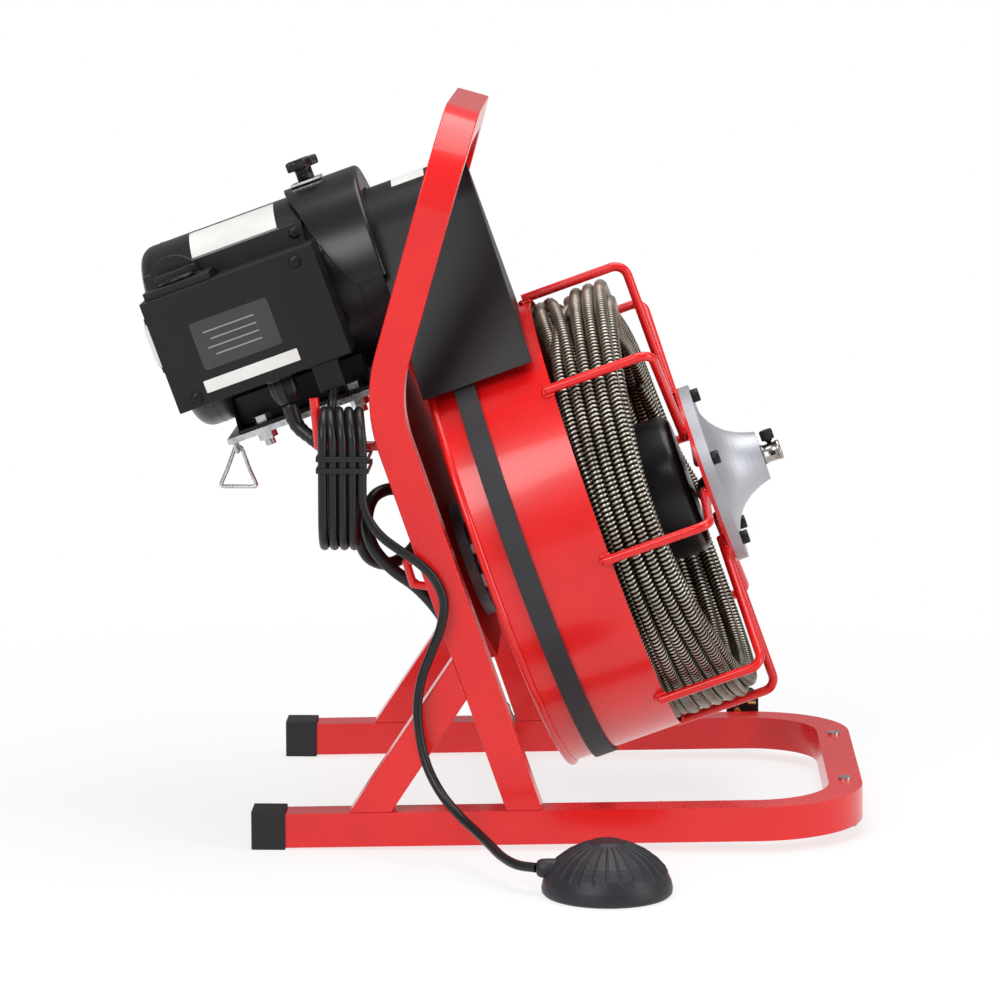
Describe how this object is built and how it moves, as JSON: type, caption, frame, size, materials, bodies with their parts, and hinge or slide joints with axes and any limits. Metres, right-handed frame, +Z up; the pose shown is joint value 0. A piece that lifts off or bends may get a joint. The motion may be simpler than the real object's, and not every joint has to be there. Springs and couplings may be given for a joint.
{
  "type": "drum drain cleaning machine",
  "caption": "Electric drum drain cleaner on a bent tube frame: belt-driven cable drum with open cage, motor with control box, foot pedal on an air hose, mains lead",
  "frame": {"origin": "middle of the footprint of the machine and its foot pedal, on the floor", "axes": "+X towards the nose where the cable leaves, +Z up, -Y is the side with the control box and the pedal"},
  "size_m": [0.5492, 0.6732, 0.5456],
  "materials": {
    "red_paint": "glossy powder coat",
    "black_paint": "satin powder coat",
    "zinc": "bright zinc plate",
    "steel": "plain steel",
    "black_steel": "black oxide",
    "iron": "machined cast iron",
    "aluminium": "bead-blasted casting",
    "brass": "plain brass",
    "rubber": "matt rubber",
    "cord_rubber": "smooth sheath",
    "black_plastic": "fine moulded grain",
    "white_plastic": "smooth moulding"
  },
  "bodies": {
    "frame": {"base_tube": "red_paint", "rear_caps": "rubber", "front_feet": "rubber", "foot_screws": "zinc", "upright_tube": "red_paint", "rear_braces": "red_paint", "cross_channel": "red_paint", "cord_hooks": "red_paint", "bearing_housing": "iron", "drum_bearings": "steel", "hex_bolts": "zinc", "motor_plate": "zinc", "motor_cradle": "black_paint", "motor_housing": "black_paint", "motor_rear_cover": "black_paint", "motor_front_cover": "black_paint", "stator": "iron", "motor_bearings": "steel", "cover_screws": "black_steel", "belt_guard": "black_paint", "guard_band": "black_paint", "band_plate": "zinc", "control_box": "black_paint", "control_lid": "black_paint", "box_saddle": "black_plastic", "switch_base": "black_plastic", "capacitor": "aluminium", "air_switch": "white_plastic", "rear_boot": "white_plastic", "cord_gland": "black_plastic", "hose_connector": "black_plastic", "drive_belt": "rubber", "ring_bail": "zinc", "pedal_base": "rubber", "power_cord": "cord_rubber", "power_coil": "cord_rubber", "plug": "black_plastic", "plug_blades": "brass", "air_hose": "cord_rubber", "hose_hank": "cord_rubber", "hank_ties": "black_plastic"},
    "drum": {"drum_shell": "red_paint", "cage_rods": "red_paint", "hub_plate": "red_paint", "hub_cone": "aluminium", "hub_bolts": "black_steel", "inner_drum": "black_paint", "cable_coil": "steel", "cable_lead": "steel", "chuck": "steel", "spindle": "steel", "spindle_nut": "zinc"},
    "rotor": {"motor_shaft": "steel", "rotor": "iron", "drive_pulley": "iron"},
    "switch": {"switch_knob": "black_plastic"},
    "guard_knob": {"guard_knob": "black_plastic"},
    "chuck_screw": {"chuck_screw": "black_steel"},
    "ring": {"pull_ring": "zinc"},
    "pedal_top": {"pedal_dome": "rubber"}
  },
  "joints": [
    {"name": "drum_spin", "type": "hinge", "parent": "frame", "child": "drum", "pos_m": [0.08065, 0.08575, 0.227], "axis": [0.9397, 0, 0.342], "continuous": true},
    {"name": "rotor_spin", "type": "hinge", "parent": "frame", "child": "rotor", "pos_m": [-0.11317, 0.08575, 0.40867], "axis": [0.9397, 0, 0.342], "continuous": true},
    {"name": "switch_turn", "type": "hinge", "parent": "frame", "child": "switch", "pos_m": [-0.23594, -0.01425, 0.40974], "axis": [-0.342, 0, 0.9397], "range_deg": [-45, 45]},
    {"name": "guard_knob_turn", "type": "hinge", "parent": "frame", "child": "guard_knob", "pos_m": [-0.14827, 0.08575, 0.47996], "axis": [-0.342, 0, 0.9397], "range_deg": [0, 360]},
    {"name": "chuck_screw_turn", "type": "hinge", "parent": "drum", "child": "chuck_screw", "pos_m": [0.20477, 0.08575, 0.28069], "axis": [-0.342, 0, 0.9397], "range_deg": [0, 360]},
    {"name": "ring_swing", "type": "hinge", "parent": "frame", "child": "ring", "pos_m": [-0.19669, 0.02075, 0.28143], "axis": [0, 1, 0], "range_deg": [-50, 50]},
    {"name": "pedal_press", "type": "slide", "parent": "frame", "child": "pedal_top", "axis": [0, 0, -1], "range_m": [0, 0.008], "stiffness_N_per_m": 1500, "deforming": ["pedal_dome"]}
  ],
  "couplings": [
    {"joint": "rotor_spin", "follows": "drum_spin", "ratio": 6.66}
  ]
}
